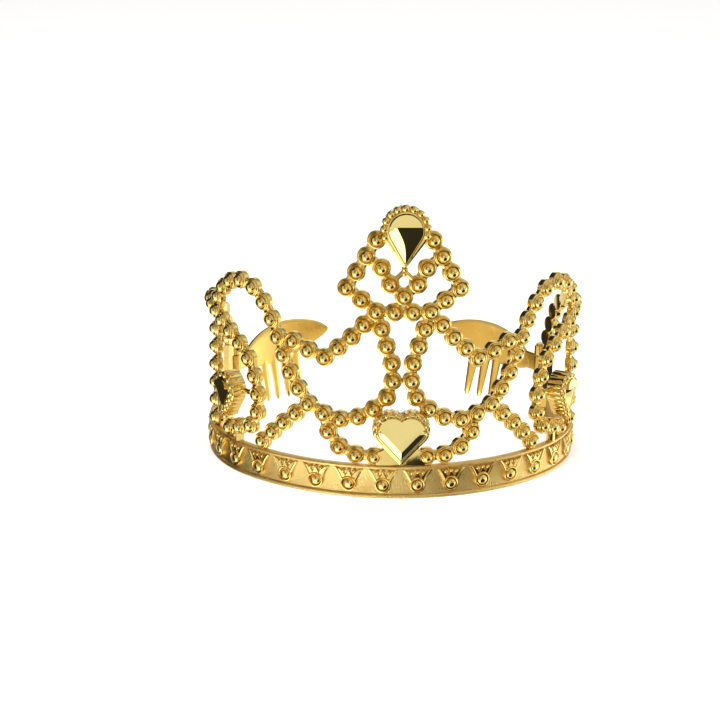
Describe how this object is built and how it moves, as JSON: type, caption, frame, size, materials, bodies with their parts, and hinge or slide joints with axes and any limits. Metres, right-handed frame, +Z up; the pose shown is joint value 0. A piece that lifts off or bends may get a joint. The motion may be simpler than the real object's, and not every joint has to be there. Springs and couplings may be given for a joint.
{
  "type": "hair crown",
  "caption": "Open oval toy crown of gold bead strands on a band with raised motifs, a heart, three drop-shaped stones and two hinged hair combs.",
  "frame": {"origin": "middle of the crown's box in plan, on the surface that the band stands on", "axes": "+Z up, the front with the heart faces -Y, +X to the viewer's right"},
  "size_m": [0.1258, 0.1073, 0.0926],
  "materials": {
    "bright_gold": "mirror gold metallised plastic",
    "grained_gold": "fine-grained gold metallised plastic",
    "polished_gold": "polished mirror gold",
    "satin_gold": "smooth satin gold",
    "pin_brass": "plain brass wire"
  },
  "bodies": {
    "crown": {"band": "grained_gold", "band_motifs": "bright_gold", "peak_strand": "bright_gold", "peak_setting": "bright_gold", "peak_stone": "polished_gold", "heart_setting": "bright_gold", "heart_stone": "polished_gold", "left_ogee": "bright_gold", "right_ogee": "bright_gold", "left_swag": "bright_gold", "right_swag": "bright_gold", "left_lower_loop": "bright_gold", "right_lower_loop": "bright_gold", "left_arch": "bright_gold", "right_arch": "bright_gold", "left_scroll": "bright_gold", "right_scroll": "bright_gold", "left_wing_setting": "bright_gold", "right_wing_setting": "bright_gold", "left_wing_stone": "polished_gold", "right_wing_stone": "polished_gold", "left_rear_strand": "bright_gold", "right_rear_strand": "bright_gold", "left_end_bracket": "bright_gold", "right_end_bracket": "bright_gold", "left_hinge_pin": "pin_brass", "right_hinge_pin": "pin_brass"},
    "left_comb": {"left_comb": "satin_gold"},
    "right_comb": {"right_comb": "satin_gold"}
  },
  "joints": [
    {"name": "left_comb_hinge", "type": "hinge", "parent": "crown", "child": "left_comb", "pos_m": [-0.05375, 0.02652, 0.0205], "axis": [0, 0, -1], "range_deg": [-20, 25]},
    {"name": "right_comb_hinge", "type": "hinge", "parent": "crown", "child": "right_comb", "pos_m": [0.05375, 0.02652, 0.0205], "axis": [0, 0, 1], "range_deg": [-20, 25]}
  ]
}
